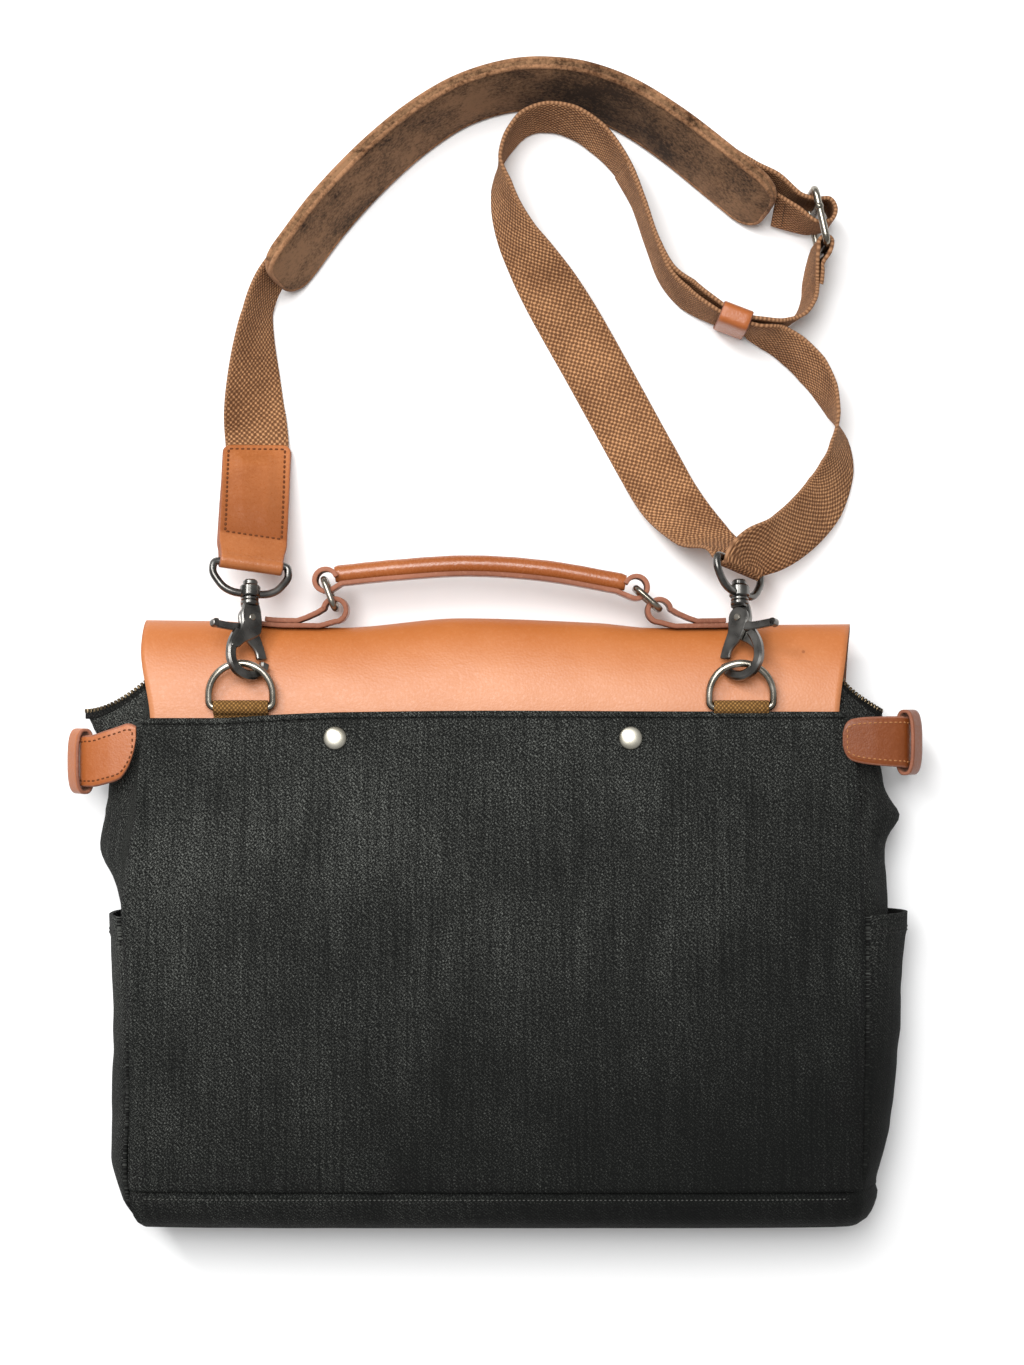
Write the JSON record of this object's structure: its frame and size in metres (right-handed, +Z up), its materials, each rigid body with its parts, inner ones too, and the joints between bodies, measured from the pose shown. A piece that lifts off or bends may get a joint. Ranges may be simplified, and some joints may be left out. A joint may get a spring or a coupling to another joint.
{
  "type": "laptop bag",
  "caption": "Soft canvas laptop bag lying on its front, with a leather flap, leather handle, open side pockets and a padded webbing shoulder strap on swivel hooks.",
  "frame": {"origin": "middle of the bag's bottom box face, on the surface that it lies on; the strap is left out", "axes": "+X across the bag to the right hook, +Y from the base to the handle, +Z up from the bag's front to its back"},
  "size_m": [0.5006, 0.6872, 0.0849],
  "materials": {
    "canvas": "matte twill",
    "flap_leather": "smooth, satin",
    "trim_leather": "smooth, satin",
    "webbing": "matte basket weave",
    "pad": "matte brushed cloth",
    "nickel": "aged nickel plate",
    "gunmetal": "dark plate"
  },
  "bodies": {
    "bag": {"body": "canvas", "back_panel": "canvas", "flap": "flap_leather", "side_pocket_left": "canvas", "side_pocket_right": "canvas", "side_tab_left": "trim_leather", "side_tab_right": "trim_leather", "side_keeper_left": "trim_leather", "side_keeper_right": "trim_leather", "rivet_left": "nickel", "rivet_right": "nickel", "d_ring_left": "nickel", "d_ring_right": "nickel", "d_ring_tab_left": "webbing", "d_ring_tab_right": "webbing", "handle_grip": "trim_leather", "handle_ring_left": "nickel", "handle_ring_right": "nickel", "handle_anchor_left": "trim_leather", "handle_anchor_right": "trim_leather", "strap_end_tab": "trim_leather", "strap_webbing_left": "webbing", "strap_webbing_right": "webbing", "strap_pad": "pad", "strap_slider": "nickel", "strap_keeper": "trim_leather", "hook_body_left": "gunmetal", "hook_eye_left": "gunmetal", "hook_body_right": "gunmetal", "hook_eye_right": "gunmetal"},
    "lever_left": {"hook_lever_left": "gunmetal"},
    "lever_right": {"hook_lever_right": "gunmetal"}
  },
  "joints": [
    {"name": "trigger_left", "type": "hinge", "parent": "bag", "child": "lever_left", "pos_m": [-0.1436, 0.1586, 0.0564], "axis": [-0.6157, -0.2172, -0.7575], "range_deg": [0, 15], "stiffness_Nm_per_rad": 0.02},
    {"name": "trigger_right", "type": "hinge", "parent": "bag", "child": "lever_right", "pos_m": [0.1434, 0.1586, 0.0564], "axis": [-0.6157, 0.2172, 0.7575], "range_deg": [0, 15], "stiffness_Nm_per_rad": 0.02}
  ]
}
